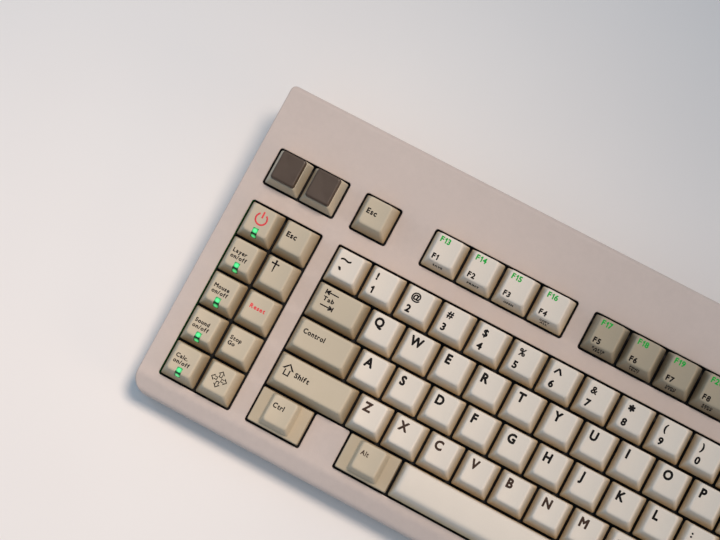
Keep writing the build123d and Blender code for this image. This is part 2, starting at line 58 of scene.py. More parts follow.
# ---- the key field, read from the frame ----
PRESS_AXIS = [j for j in frame["joints"] if j["name"] == "escape_key_press"][0]["axis"]
INCLINE = math.atan2(PRESS_AXIS[1], -PRESS_AXIS[2])
PLATE_THICKNESS = 1.5
CAP_BASE = 6.3           # skirt of a cap above the plate
CAP_GAP = 0.95
SKIRT_GAP = 1.25         # gap between the drawn skirts, a little wider than in the frame
CASE_TOP = 6.0           # housing surface above the plate
SIN = math.sin(INCLINE)
COS = math.cos(INCLINE)

plate_low, plate_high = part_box("switch_plate")
ANCHOR_Y = plate_low.y / MM
ANCHOR_Z = plate_low.z / MM + PLATE_THICKNESS * COS

row_low, row_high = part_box("number_row_keys")
PITCH = ((row_high.x - row_low.x) / MM + CAP_GAP) / 13

escape_low, escape_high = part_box("escape_key")
ESCAPE_X = (escape_low.x + escape_high.x) / 2 / MM
ESCAPE_Y = ((escape_low.y + escape_high.y) / 2 / MM - ANCHOR_Y + CAP_BASE * SIN) / COS


def field_centre(x, y, w, d):
    """Middle of a key given in key units, in the plane of the key field."""
    return ESCAPE_X + (x + w / 2 - 0.5) * PITCH, ESCAPE_Y - (y + d / 2 + 1.0) * PITCH


def placing(x, y, z=0.0):
    """Matrix from millimetres at a point of the key field to metres in the row frame."""
    world = Vector((x, ANCHOR_Y + y * COS - z * SIN, ANCHOR_Z + y * SIN + z * COS)) * MM
    return Matrix.Translation(world) @ Matrix.Rotation(INCLINE, 4, "X") @ Matrix.Scale(MM, 4)


# ---- materials ----
def linear(red, green, blue):
    """Colour from 0-255 display values."""
    def channel(value):
        value /= 255
        return value / 12.92 if value <= 0.04045 else ((value + 0.055) / 1.055) ** 2.4
    return channel(red), channel(green), channel(blue), 1.0


def shade(colour, factor):
    return tuple(min(c * factor, 1.0) for c in colour[:3]) + (1.0,)


class Nodes:
    """Short way to build a node tree."""

    def __init__(self, name):
        self.material = bpy.data.materials.new(name)
        self.material.use_nodes = True
        self.tree = self.material.node_tree
        self.tree.nodes.clear()
        self.shader = self.add("ShaderNodeBsdfPrincipled")
        output = self.add("ShaderNodeOutputMaterial")
        self.link(self.shader.outputs[0], output.inputs[0])
        self.place = self.add("ShaderNodeTexCoord").outputs["Object"]

    def add(self, kind, **values):
        node = self.tree.nodes.new(kind)
        for key, value in values.items():
            setattr(node, key, value)
        return node

    def link(self, start, end):
        self.tree.links.new(start, end)

    def noise(self, size_mm, detail=3.0, stretch=None):
        """Noise with features of about this size."""
        node = self.add("ShaderNodeTexNoise")
        node.inputs["Scale"].default_value = 1.0 / (size_mm * MM)
        node.inputs["Detail"].default_value = detail
        if stretch:
            mapping = self.add("ShaderNodeMapping")
            mapping.inputs["Scale"].default_value = stretch
            self.link(self.place, mapping.inputs["Vector"])
            self.link(mapping.outputs[0], node.inputs["Vector"])
        else:
            self.link(self.place, node.inputs["Vector"])
        return node.outputs[0]

    def span(self, value, low, high, to_low=0.0, to_high=1.0):
        node = self.add("ShaderNodeMapRange")
        for socket, number in zip(node.inputs[1:5], (low, high, to_low, to_high)):
            socket.default_value = number
        self.link(value, node.inputs[0])
        return node.outputs[0]

    def spread(self, noise, to_low=0.0, to_high=1.0):
        """Noise, which stays near the middle of its range, taken to the full span of two values."""
        return self.span(noise, 0.3, 0.7, to_low, to_high)

    def mix(self, factor, first, second):
        node = self.add("ShaderNodeMix", data_type="RGBA")
        self.link(factor, node.inputs[0])
        for socket, colour in ((node.inputs[6], first), (node.inputs[7], second)):
            if isinstance(colour, tuple):
                socket.default_value = colour
            else:
                self.link(colour, socket)
        return node.outputs[2]

    def bump(self, height, strength, distance_mm, below=None):
        node = self.add("ShaderNodeBump")
        node.inputs["Strength"].default_value = strength
        node.inputs["Distance"].default_value = distance_mm * MM
        self.link(height, node.inputs["Height"])
        if below:
            self.link(below, node.inputs["Normal"])
        return node.outputs[0]

    def rounded(self, radius_mm):
        """Surface direction as if sharp edges had a small radius."""
        node = self.add("ShaderNodeBevel")
        node.samples = 6
        node.inputs["Radius"].default_value = radius_mm * MM
        return node.outputs[0]

    def edges(self):
        """One along convex edges, zero elsewhere."""
        return self.span(self.add("ShaderNodeNewGeometry").outputs["Pointiness"], 0.53, 0.62)

    def product(self, first, second):
        node = self.add("ShaderNodeMath", operation="MULTIPLY")
        self.link(first, node.inputs[0])
        self.link(second, node.inputs[1])
        return node.outputs[0]

    def finish(self, colour=None, roughness=None, normal=None, **fixed):
        for name, value in (("Base Color", colour), ("Roughness", roughness), ("Normal", normal)):
            if value is not None:
                self.link(value, self.shader.inputs[name])
        for name, value in fixed.items():
            self.shader.inputs[name.replace("_", " ")].default_value = value
        return self.material


def plastic(name, colour, roughness=(0.5, 0.68), grain=0.28, depth=0.03, blotch=0.06, wear=0.35, worn=1.18,
            base_shade=None, edge_radius=0.0):
    """Moulded plastic: broad tint changes, speckle, fine texture and edges polished by use, with painted shade
    darkening it towards the skirt when a shade colour is given.
    """
    n = Nodes(name)
    broad = n.spread(n.noise(42, 2))
    base = n.mix(broad, shade(colour, 1 - blotch), shade(colour, 1 + blotch))
    spotted = n.mix(n.span(n.noise(0.55, 2), 0.25, 0.75, 0.0, 0.35), base, shade(colour, 0.93))
    rubbed = n.product(n.edges(), n.span(n.noise(3.0), 0.35, 0.7, 0.0, wear))
    final = n.mix(rubbed, spotted, shade(colour, worn))
    # painted shade: mixes in a darker, browner colour towards the skirt of a cap, following the vertex attribute
    # 'depth'
    if base_shade:
        low_down = n.add("ShaderNodeAttribute", attribute_name="depth").outputs["Fac"]
        patchy = n.spread(n.noise(5, 3), 0.8, 1.0)
        final = n.mix(n.product(n.span(low_down, 0.2, 1.0), patchy), final, base_shade)
    gloss = n.spread(n.noise(6, 3), *roughness)
    fine = n.bump(n.noise(grain, 4), 0.35, depth, n.rounded(edge_radius) if edge_radius else None)
    wide = n.bump(n.noise(grain * 9, 2), 0.2, depth, fine)
    return n.finish(final, gloss, wide)


def metal(name, colour, roughness=(0.3, 0.45), stretch=(1, 12, 12)):
    """Drawn or stamped metal with long fine scratches."""
    n = Nodes(name)
    streak = n.noise(0.4, 3, stretch)
    tint = n.mix(n.spread(streak), shade(colour, 0.85), shade(colour, 1.1))
    gloss = n.spread(n.noise(2.5), *roughness)
    return n.finish(tint, gloss, n.bump(streak, 0.25, 0.01), Metallic=1.0)


def ink(name, colour):
    """Dye printed into the cap, with slightly uneven cover."""
    n = Nodes(name)
    cover = n.span(n.noise(0.5, 4), 0.3, 0.75)
    tint = n.mix(cover, colour, shade(colour, 1.5))
    gloss = n.spread(n.noise(1.5), 0.55, 0.7)
    return n.finish(tint, gloss, n.bump(n.noise(0.3, 3), 0.2, 0.01), Specular_IOR_Level=0.15)


def glowing(name, deep, bright, strength):
    """Clear plastic lit from below: bright in the middle, deep at the rim (vertex attribute 'glow')."""
    n = Nodes(name)
    glow = n.add("ShaderNodeAttribute", attribute_name="glow").outputs["Fac"]
    uneven = n.spread(n.noise(0.9, 2), 0.75, 1.0)
    level = n.product(glow, uneven)
    tint = n.mix(level, deep, bright)
    n.link(tint, n.shader.inputs["Emission Color"])
    gloss = n.spread(n.noise(1.0), 0.12, 0.25)
    return n.finish(tint, gloss, n.bump(n.noise(0.6, 2), 0.15, 0.02), Emission_Strength=strength)


def laminate(name, colour):
    """Circuit board: solder mask over copper tracks."""
    n = Nodes(name)
    tracks = n.add("ShaderNodeTexVoronoi", distance="MANHATTAN")
    tracks.inputs["Scale"].default_value = 1 / (6 * MM)
    n.link(n.place, tracks.inputs["Vector"])
    lines = n.span(tracks.outputs["Distance"], 0.35, 0.45)
    tint = n.mix(lines, colour, shade(colour, 1.7))
    return n.finish(tint, n.spread(n.noise(4), 0.25, 0.4), n.bump(lines, 0.2, 0.03))


def rubber(name, colour):
    n = Nodes(name)
    tint = n.mix(n.spread(n.noise(1.2, 3)), colour, shade(colour, 1.6))
    return n.finish(tint, n.spread(n.noise(2), 0.75, 0.9), n.bump(n.noise(0.4, 4), 0.5, 0.05))


CASE_COLOUR = linear(196, 181, 172)
# the last colour of each cap plastic is painted shade, darker and browner towards the skirt
CREAM = plastic("cream_cap_plastic", linear(220, 209, 194), blotch=0.03, base_shade=linear(200, 173, 128))
BEIGE = plastic("beige_cap_plastic", linear(190, 176, 152), blotch=0.03, base_shade=linear(166, 140, 100))
OLIVE = plastic("olive_cap_plastic", linear(164, 151, 128), blotch=0.03, base_shade=linear(130, 112, 84))
COVER = plastic("blank_cover_plastic", linear(70, 54, 41), (0.35, 0.5), depth=0.03, blotch=0.05, worn=1.4)
HOUSING = plastic("housing_plastic", CASE_COLOUR, (0.55, 0.7), grain=0.4, depth=0.05, blotch=0.025, wear=0.25,
                  edge_radius=1.1)
FOOT = plastic("tilt_foot_plastic", shade(CASE_COLOUR, 0.9), (0.5, 0.65), wear=0.5)
# painted shade: near-black given to the inside faces of the upper housing so its openings look dark
INSIDE_SHADE = plastic("housing_inside_painted_shade", linear(14, 13, 13), (0.7, 0.85), wear=0.0)
SWITCH = plastic("switch_black_nylon", linear(16, 15, 15), (0.4, 0.55), wear=0.1)
STEM = plastic("stem_plastic", linear(60, 46, 38), (0.35, 0.5), wear=0.1)
PLATE = plastic("plate_powder_coat", linear(12, 12, 13), (0.6, 0.75), grain=0.15, depth=0.05, wear=0.1)
DARK_INK = ink("dark_ink", linear(13, 9, 8))
BROWN_INK = ink("brown_ink", linear(56, 40, 31))
GREEN_INK = ink("green_ink", linear(24, 152, 58))
RED_INK = ink("red_ink", linear(200, 66, 70))
LAMP_GLOW = glowing("lamp_window_glow", linear(0, 70, 28), linear(84, 222, 134), 1.0)
# painted light: a faint green glow on housing walls beside the lamp keys, standing in for lamp light spilled there
PAINTED_LAMP_SPILL = glowing("painted_green_lamp_spill", linear(0, 52, 16), linear(0, 90, 30), 1.0)
LAMP_BODY = plastic("lamp_green_epoxy", linear(20, 120, 60), (0.15, 0.25), wear=0.0)
BOARD = laminate("board_laminate", linear(14, 52, 30))
STEEL = metal("spring_steel", linear(170, 170, 172))
ZINC = metal("screw_zinc", linear(165, 165, 160), (0.35, 0.5), (1, 1, 1))
BRASS = metal("contact_brass", linear(196, 160, 90))
SOCKET = metal("socket_plated", linear(176, 176, 180), (0.25, 0.4))
RUBBER = rubber("foot_rubber", linear(34, 33, 32))
CAP_PLASTIC = {"cream_caps": CREAM, "beige_caps": BEIGE, "olive_caps": OLIVE, "blank_caps": BEIGE}
SLOT_OF = {s["node"]: s["material_slot"] for s in frame["record"]["subparts"]}


# ---- mesh helpers ----
def add_object(name, data):
    thing = bpy.data.objects.new(name, data)
    bpy.context.scene.collection.objects.link(thing)
    return thing


CORNER_STEPS = 5


def outline(w, d, r, cy=0.0, nx=8, ny=8):
    """Points round a rounded rectangle, anticlockwise from the left end of the front side."""
    hw, hd = w / 2, d / 2
    r = min(r, hw - 0.01, hd - 0.01)
    points = []
    corners = ((hw - r, -hd + r, -90), (hw - r, hd - r, 0), (-hw + r, hd - r, 90), (-hw + r, -hd + r, 180))
    sides = (
        ((-hw + r, -hd), (hw - r, -hd), nx),
        ((hw, -hd + r), (hw, hd - r), ny),
        ((hw - r, hd), (-hw + r, hd), nx),
        ((-hw, hd - r), (-hw, -hd + r), ny),
    )
    for (start, end, count), (cx, cyy, angle) in zip(sides, corners):
        for i in range(count + 1):
            t = i / count
            points.append((start[0] + (end[0] - start[0]) * t, start[1] + (end[1] - start[1]) * t + cy))
        for i in range(1, CORNER_STEPS):
            a = math.radians(angle + 90 * i / CORNER_STEPS)
            points.append((cx + r * math.cos(a), cyy + r * math.sin(a) + cy))
    return points


def add_ring(bm, points):
    return [bm.verts.new(p) for p in points]


def bridge(bm, lower, upper, material=0):
    count = len(lower)
    for i in range(count):
        j = (i + 1) % count
        bm.faces.new((lower[i], lower[j], upper[j], upper[i])).material_index = material


def stack(bm, outlines, material=0, inward=False):
    """Rings of vertices joined each to the next; gives the rings."""
    rings = [add_ring(bm, points) for points in outlines]
    for lower, upper in zip(rings, rings[1:]):
        if inward:
            lower, upper = upper, lower
        bridge(bm, lower, upper, material)
    return rings


def cap_ends(bm, rings, material):
    bm.faces.new(rings[-1]).material_index = material
    bm.faces.new(rings[0][::-1]).material_index = material


def close_ring(bm, ring, nx, ny, along_x, flip=False):
    """Fill a narrow rounded ring with quads between its two long sides and a face at each end."""
    front = list(range(0, nx + 1))
    right = list(range(nx + CORNER_STEPS, nx + CORNER_STEPS + ny + 1))
    rear_start = nx + 2 * CORNER_STEPS + ny
    rear = list(range(rear_start, rear_start + nx + 1))
    left_start = rear_start + nx + CORNER_STEPS
    left = list(range(left_start, left_start + ny + 1))
    count = len(ring)

    def face(indices):
        vertices = [ring[i % count] for i in indices]
        if flip:
            vertices.reverse()
        bm.faces.new(vertices)

    one, two = (front, rear) if along_x else (right, left)
    steps = nx if along_x else ny
    for i in range(steps):
        face((one[i], one[i + 1], two[steps - i - 1], two[steps - i]))
    face(range(one[-1], two[0] + 1))
    face(range(two[-1], one[0] + count + 1))


def new_piece(name, bm, matrix, materials):
    """Mesh object in the row frame from a bmesh in local millimetres."""
    bmesh.ops.recalc_face_normals(bm, faces=bm.faces)
    mesh = bpy.data.meshes.new(name)
    bm.transform(matrix)
    bm.to_mesh(mesh)
    bm.free()
    for material in materials:
        mesh.materials.append(material)
    mesh.polygons.foreach_set("use_smooth", [True] * len(mesh.polygons))
    mesh.update()
    return add_object(name, mesh)


def add_box(bm, x0, x1, y0, y1, z0, z1, material):
    """Block with chamfered upright corners and top edge."""
    w, d = x1 - x0, y1 - y0
    cx, cy = (x0 + x1) / 2, (y0 + y1) / 2
    c = 0.15
    outlines = []
    for z, inset in ((z0, 0.0), (z1 - c, 0.0), (z1, c)):
        hw, hd = w / 2 - inset, d / 2 - inset
        corner = ((hw - c, -hd), (hw, -hd + c), (hw, hd - c), (hw - c, hd))
        other = ((-hw + c, hd), (-hw, hd - c), (-hw, -hd + c), (-hw + c, -hd))
        outlines.append([(cx + x, cy + y, z) for x, y in corner + other])
    cap_ends(bm, stack(bm, outlines, material), material)


def add_rod(bm, radius, x, y, z0, z1):
    sides = 20
    circle = [(radius * math.cos(math.tau * i / sides), radius * math.sin(math.tau * i / sides))
              for i in range(sides)]
    cap_ends(bm, stack(bm, [[(x + px, y + py, z) for px, py in circle] for z in (z0, z1)]), 0)


# ---- flat shapes for legends ----
def flat_mesh(curve):
    """Vertices and faces of a filled flat curve."""
    holder = add_object("flat", curve)
    bpy.context.view_layer.update()
    mesh = bpy.data.meshes.new_from_object(holder.evaluated_get(bpy.context.evaluated_depsgraph_get()))
    vertices = [(v.co.x, v.co.y) for v in mesh.vertices]
    faces = [tuple(p.vertices) for p in mesh.polygons]
    bpy.data.objects.remove(holder)
    bpy.data.curves.remove(curve)
    bpy.data.meshes.remove(mesh)
    return vertices, faces


def stroke_shape(loops):
    """Filled shape from closed loops of points, inner loops cut holes."""
    curve = bpy.data.curves.new("shape", "CURVE")
    curve.dimensions = "2D"
    curve.fill_mode = "BOTH"
    for loop in loops:
        spline = curve.splines.new("POLY")
        spline.points.add(len(loop) - 1)
        for point, (x, y) in zip(spline.points, loop):
            point.co = (x, y, 0, 1)
        spline.use_cyclic_u = True
    return flat_mesh(curve)


def extent(vertices, axis):
    values = [v[axis] for v in vertices]
    return min(values), max(values)


def turn_of(polygon, vertices):
    """Signed area of a polygon, positive when it runs anticlockwise."""
    corners = [vertices[i] for i in polygon]
    return sum(a[0] * b[1] - b[0] * a[1] for a, b in zip(corners, corners[1:] + corners[:1])) / 2


def united(vertices, faces):
    """Overlapping flat faces as one triangulated sheet."""
    points = [Vector(v) for v in vertices]
    sound = []
    for face in faces:
        area = turn_of(face, vertices)
        if abs(area) > 1e-6:
            sound.append(list(face) if area > 0 else list(face)[::-1])
    verts, _, triangles, _, _, origins = delaunay_2d_cdt(points, [], sound, 1, 1e-6, True)
    kept = [tuple(t) for t, origin in zip(triangles, origins) if origin]
    return [(v.x, v.y) for v in verts], kept


def thickened(vertices, faces, amount):
    """Flat shape with a round-cornered border added all round."""
    uses = {}
    for face in faces:
        for a, b in zip(face, face[1:] + face[:1]):
            uses[frozenset((a, b))] = uses.get(frozenset((a, b)), 0) + 1
    points, polygons = list(vertices), [list(f) for f in faces]
    border = set()
    for edge, count in uses.items():
        if count > 1 or len(edge) < 2:
            continue
        (ax, ay), (bx, by) = (vertices[i] for i in sorted(edge))
        length = math.hypot(bx - ax, by - ay)
        border |= edge
        if length < 1e-3:
            continue
        nx, ny = -(by - ay) / length * amount, (bx - ax) / length * amount
        start = len(points)
        points += [(ax + nx, ay + ny), (ax - nx, ay - ny), (bx - nx, by - ny), (bx + nx, by + ny)]
        polygons.append(list(range(start, start + 4)))
    for index in sorted(border):
        x, y = vertices[index]
        start = len(points)
        angles = [math.tau * k / 8 + 0.1 for k in range(8)]
        points += [(x + amount * math.cos(a), y + amount * math.sin(a)) for a in angles]
        polygons.append(list(range(start, start + 8)))
    return united(points, polygons)


def bar(x0, y0, x1, y1, thick):
    """Straight stroke between two points."""
    length = math.hypot(x1 - x0, y1 - y0)
    nx, ny = -(y1 - y0) / length * thick / 2, (x1 - x0) / length * thick / 2
    return [(x0 + nx, y0 + ny), (x0 - nx, y0 - ny), (x1 - nx, y1 - ny), (x1 + nx, y1 + ny)], [(0, 1, 2, 3)]


def joined(*shapes):
    vertices, faces = [], []
    for more, polygons in shapes:
        shift = len(vertices)
        vertices += more
        faces += [tuple(i + shift for i in polygon) for polygon in polygons]
    return vertices, faces


def plain_glyph(character):
    """One character at size one, unthickened."""
    curve = bpy.data.curves.new("text", "FONT")
    curve.body = character
    curve.size = 1.0
    curve.resolution_u = 3
    return flat_mesh(curve)


CAPITAL = extent(plain_glyph("H")[0], 1)[1]
glyph_cache = {}


def glyph(character, bold):
    """Thickened character whose capitals are CAPITAL high, with its left side at zero."""
    if (character, bold) not in glyph_cache:
        if character == "1":
            thin = 0.075
            top = CAPITAL - thin / 2
            strokes = joined(bar(0.2, 0, 0.2, CAPITAL, thin), bar(0.2, top, 0.03, top - 0.17, thin))
            vertices, faces = united(*strokes)
        else:
            vertices, faces = plain_glyph(character)
        vertices, faces = thickened(vertices, faces, bold)
        scale = CAPITAL / (CAPITAL + 2 * bold)
        low = extent(vertices, 0)[0]
        glyph_cache[character, bold] = [((x - low) * scale, (y + bold) * scale) for x, y in vertices], faces
    return glyph_cache[character, bold]


BOLD = 0.05
SMALL_BOLD = 0.04
SIGN_BOLD = 0.036
SPACING = 0.075


def word(text, height, width=None, bold=BOLD):
    """Word with capitals of this height, its left end and base line at zero."""
    shapes, pen = [], 0.0
    for character in text:
        vertices, faces = glyph(character, bold)
        shapes.append(([(x + pen, y) for x, y in vertices], faces))
        pen += extent(vertices, 0)[1] + SPACING
    vertices, faces = joined(*shapes)
    scale = height / CAPITAL
    across = width / (pen - SPACING) if width else scale
    return [(x * across, y * scale) for x, y in vertices], faces


def squeezed(shape, across):
    vertices, faces = shape
    return [(x * across, y) for x, y in vertices], faces


def turned(shape, degrees, dx=0.0, dy=0.0):
    c, s = math.cos(math.radians(degrees)), math.sin(math.radians(degrees))
    vertices, faces = shape
    return [(x * c - y * s + dx, x * s + y * c + dy) for x, y in vertices], faces


def arrow_loop(width, length, shaft, head):
    """Upward block arrow, its foot at zero."""
    w, s = width / 2, shaft / 2
    neck = length - head
    return [(-s, 0), (s, 0), (s, neck), (w, neck), (0, length), (-w, neck), (-s, neck)]


def outline_arrow(width, length, shaft, head, line):
    outer = arrow_loop(width, length, shaft, head)
    inner = arrow_loop(width - 4.0 * line, length - 2.4 * line, shaft - 2 * line, head - 1.4 * line)
    return stroke_shape([outer, [(x, y + line) for x, y in inner]])


def united_shape(*shapes):
    return united(*joined(*shapes))


def tab_arrow(sign, width, height):
    """Thin arrow with a stop bar at its point."""
    half = height / 2
    tip = sign * width / 2
    return united_shape(
        bar(-sign * width / 2, 0, tip - sign * 0.4, 0, 0.6),
        bar(tip, -half, tip, half, 0.6),
        bar(tip - sign * 0.4, 0, tip - sign * 2.1, half * 0.85, 0.75),
        bar(tip - sign * 0.4, 0, tip - sign * 2.1, -half * 0.85, 0.75),
    )


def caret(width, height, line):
    """Pointed accent, its feet at zero."""
    return united_shape(bar(0, 0, width / 2, height, line), bar(width, 0, width / 2, height, line))


def power_mark(radius, line):
    """Open ring with a short stroke at the top."""
    steps = 28
    arc = [math.radians(125 + 290 * i / steps) for i in range(steps + 1)]
    outer = [(radius * math.cos(a), radius * math.sin(a)) for a in arc]
    inner = [((radius - line) * math.cos(a), (radius - line) * math.sin(a)) for a in reversed(arc)]
    return united_shape(stroke_shape([outer + inner]), bar(0, radius * 0.15, 0, radius * 1.15, line))


def dagger(height, width):
    """Plain long cross with flared ends."""
    half, top = width / 2, height
    cross_y = height * 0.68
    return united_shape(
        stroke_shape([[(-0.22, 0), (0.22, 0), (0.42, cross_y), (0.48, top), (-0.48, top), (-0.42, cross_y)]]),
        stroke_shape([[(-half, cross_y - 0.44), (0, cross_y - 0.28), (half, cross_y - 0.44),
                       (half, cross_y + 0.44), (0, cross_y + 0.28), (-half, cross_y + 0.44)]]),
    )


# ---- caps ----
# height at the middle, slope of the top in degrees, inset of the top face at the rear and at the front
ROW_SHAPES = {
    "tall": (9.9, 5.0, 0.9, 3.15),
    "upper": (8.7, 3.0, 0.7, 3.35),
    "home": (8.2, -1.0, 0.7, 3.35),
    "lower": (8.6, -5.0, 0.6, 3.45),
}
FACE_INSET = 2.75
DISH = 0.6
WALL = 1.1
FACE_RINGS = (0.95, 1.7, 2.7, 3.9, 5.1)
INK_LIFT = 0.022
INK_SINK = -0.04
LOW_STEP = 3.0           # height of the low side of a stepped key


class Cap:
    """Outer surface of one cap, in millimetres round the middle of its skirt."""

    def __init__(self, wide, deep, shape, low_step=False):
        self.w = wide * PITCH - SKIRT_GAP
        self.d = deep * PITCH - SKIRT_GAP
        self.top_w = PITCH - SKIRT_GAP if low_step else self.w
        self.low_step = low_step
        height, slope, rear, front = ROW_SHAPES[shape]
        self.height = height
        self.slope = math.tan(math.radians(slope))
        self.middle = (front - rear) / 2
        self.face_w = self.top_w - 2 * FACE_INSET
        self.face_d = self.d - rear - front
        self.dish = 0.0 if wide > 6 else DISH
        self.round = 1.7 if wide > 6 else 0.95
        self.nx = max(8, round(self.face_w / 1.5)) if wide < 6 else 40
        self.ny = max(8, round(self.face_d / 1.8))

    def top(self, x, y):
        """Height of the top face."""
        half = self.face_w / 2
        hollow = self.dish * max(1 - (x / half) ** 2, 0.0)
        swell = 0.0
        if not self.dish:
            swell = -0.35 * ((y - self.middle) / (self.face_d / 2)) ** 2
        return self.height + (y - self.middle) * self.slope - hollow + swell

    def ring(self, inset):
        w, d, r = self.face_w - 2 * inset, self.face_d - 2 * inset, max(1.7 - inset, 0.5)
        return [(x, y, self.top(x, y)) for x, y in outline(w, d, r, self.middle, self.nx, self.ny)]

    def skirt(self, w, d, r, z, cy=0.0):
        return [(x, y, z) for x, y in outline(w, d, r, cy, self.nx, self.ny)]

    def front_face(self, x, rise):
        """Point on the front slope, rise from zero at the skirt to one at the top face."""
        ratio = (self.face_w - 3.4) / (self.top_w - 1.4)
        edge_x = x * ratio / ((1 - rise) + rise * ratio)
        edge_y = self.middle - self.face_d / 2
        edge_z = self.top(edge_x, edge_y)
        return Vector((x, -self.d / 2 + (edge_y + self.d / 2) * rise, edge_z * rise))


def lerp_ring(first, second, t):
    return [tuple(a + (b - a) * t for a, b in zip(p, q)) for p, q in zip(first, second)]


def cap_shell(bm, cap):
    """Closed shell of a cap: rounded outside, hollow inside."""
    face_edge = cap.ring(0.0)
    foot = cap.skirt(cap.w, cap.d, 0.7, 0.0)
    rings = [cap.skirt(cap.w - 0.24, cap.d - 0.24, 0.6, 0.0), cap.skirt(cap.w, cap.d, 0.7, 0.14)]
    if cap.low_step:
        for less_w, less_d, below in ((0.55, 0.55, 0.45), (0.8, 0.75, 0.12), (1.3, 0.95, 0.0)):
            rings.append(cap.skirt(cap.w - less_w, cap.d - less_d, 0.8, LOW_STEP - below))
        share = LOW_STEP / cap.height
        start = lerp_ring(cap.skirt(cap.top_w, cap.d, 0.9, 0.0), face_edge, share)
        start = [(x, y * 0.985, LOW_STEP) for x, y, z in start]
        rings.append(lerp_ring(rings[-1], start, 0.9))
        foot = start
        first_share = 0.06
    else:
        first_share = 0.12
    drop = cap.height - foot[0][2]
    last_share = 1 - cap.round / drop
    for k in range(4):
        share = first_share + (last_share - first_share) * k / 3
        rings.append(lerp_ring(foot, face_edge, share))
    inner_start = cap.ring(cap.round)
    arc_start = rings[-1]
    for t in (0.25, 0.5, 0.75):
        rising = lerp_ring(arc_start, face_edge, t)
        rings.append(lerp_ring(rising, lerp_ring(face_edge, inner_start, t), t))
    insets = [cap.round] + [t for t in FACE_RINGS if t > cap.round + 0.3]
    insets.append(min(cap.face_w, cap.face_d) / 2 - 0.35)
    made = stack(bm, rings + [cap.ring(inset) for inset in insets])
    close_ring(bm, made[-1], cap.nx, cap.ny, cap.face_w >= cap.face_d)
    # hollow side
    roof_w = max(cap.face_w - 2 * WALL, 4)
    roof_d = cap.face_d - 2 * WALL
    roof_z = cap.height - 2.2
    inside = [cap.skirt(cap.w - 2 * WALL, cap.d - 2 * WALL, 0.5, 0.0)]
    if cap.low_step:
        inside.append(cap.skirt(cap.w - 2.4 * WALL, cap.d - 2.4 * WALL, 0.5, 1.5))
        inside.append(cap.skirt(cap.top_w - 3.6, cap.d - 4.0, 0.5, 1.6))
    inside.append(cap.skirt(roof_w, roof_d, 1.0, roof_z, cap.middle))
    flat_w, flat_d = roof_w - 1.2, roof_d - 1.2
    inside.append(cap.skirt(flat_w, flat_d, 0.8, roof_z + 0.3, cap.middle))
    short = min(flat_w, flat_d) - 0.8
    inside.append(cap.skirt(flat_w - short, flat_d - short, 0.3, roof_z + 0.3, cap.middle))
    hollow = stack(bm, inside, inward=True)
    bridge(bm, hollow[0], made[0])
    close_ring(bm, hollow[-1], cap.nx, cap.ny, roof_w >= roof_d, flip=True)
    # 'depth' goes from zero at the top face to one at the skirt; the cap plastics paint shade along it, less on
    # stepped keys
    layer = bm.verts.layers.float["depth"]
    darkest = 0.62 if cap.low_step else 1.0
    for vertex in bm.verts:
        x, y, z = vertex.co
        vertex[layer] = min(max(1 - z / max(cap.top(x, y), 1.0), 0.0), 1.0) * darkest


def add_film(bm, shape, drape, material):
    """Legend as a thin closed film that follows the surface given by drape(x, y, lift)."""
    vertices, faces = shape
    film = bmesh.new()
    made = [film.verts.new((x, y, 0)) for x, y in vertices]
    for polygon in faces:
        try:
            film.faces.new([made[i] for i in polygon])
        except ValueError:
            pass
    bmesh.ops.dissolve_limit(film, angle_limit=0.001, verts=film.verts, edges=film.edges)
    low, high = extent(vertices, 0)
    step = 0.9
    x = low + step
    while x < high:
        geometry = film.verts[:] + film.edges[:] + film.faces[:]
        bmesh.ops.bisect_plane(film, geom=geometry, plane_co=(x, 0, 0), plane_no=(1, 0, 0), dist=1e-5)
        x += step
    bmesh.ops.remove_doubles(film, verts=film.verts, dist=1e-5)
    film.verts.index_update()
    upper = [bm.verts.new(drape(v.co.x, v.co.y, INK_LIFT)) for v in film.verts]
    under = [bm.verts.new(drape(v.co.x, v.co.y, INK_SINK)) for v in film.verts]
    for polygon in film.faces:
        indices = [v.index for v in polygon.verts]
        if polygon.normal.z < 0:
            indices.reverse()
        bm.faces.new([upper[i] for i in indices]).material_index = material
        bm.faces.new([under[i] for i in reversed(indices)]).material_index = material
    for edge in film.edges:
        if len(edge.link_faces) == 1:
            a, b = edge.verts[0].index, edge.verts[1].index
            bm.faces.new((upper[a], upper[b], under[b], under[a])).material_index = material
    film.free()


def on_top(cap, left, rear):
    """Draping onto the top face, measured from its left and rear edges."""
    x0 = -cap.face_w / 2 + left
    y0 = cap.middle + cap.face_d / 2 - rear
    return lambda x, y, lift: (x0 + x, y0 + y, cap.top(x0 + x, y0 + y) + lift)


def on_front(cap, centre_x, rise):
    """Draping onto the front slope."""
    slope_length = (cap.front_face(0, 1) - cap.front_face(0, 0)).length
    along = (cap.front_face(0, 1) - cap.front_face(0, 0)).normalized()
    outward = Vector((0, -along.z, along.y))

    def place(x, y, lift):
        point = cap.front_face(centre_x + x, rise + y / slope_length)
        return point + outward * (lift + 0.01)
    return place


INKS = [DARK_INK, BROWN_INK, GREEN_INK, RED_INK]
DARK, BROWN, GREEN, RED = 2, 3, 4, 5

# ---- legends: (shape, left, rear of the base line, ink) on the top face ----
LEFT_MARGIN = 1.45


def letter(text, tint=DARK):
    narrow = 0.92
    return [(squeezed(word(text, 4.85), narrow), LEFT_MARGIN, 6.7, tint)]


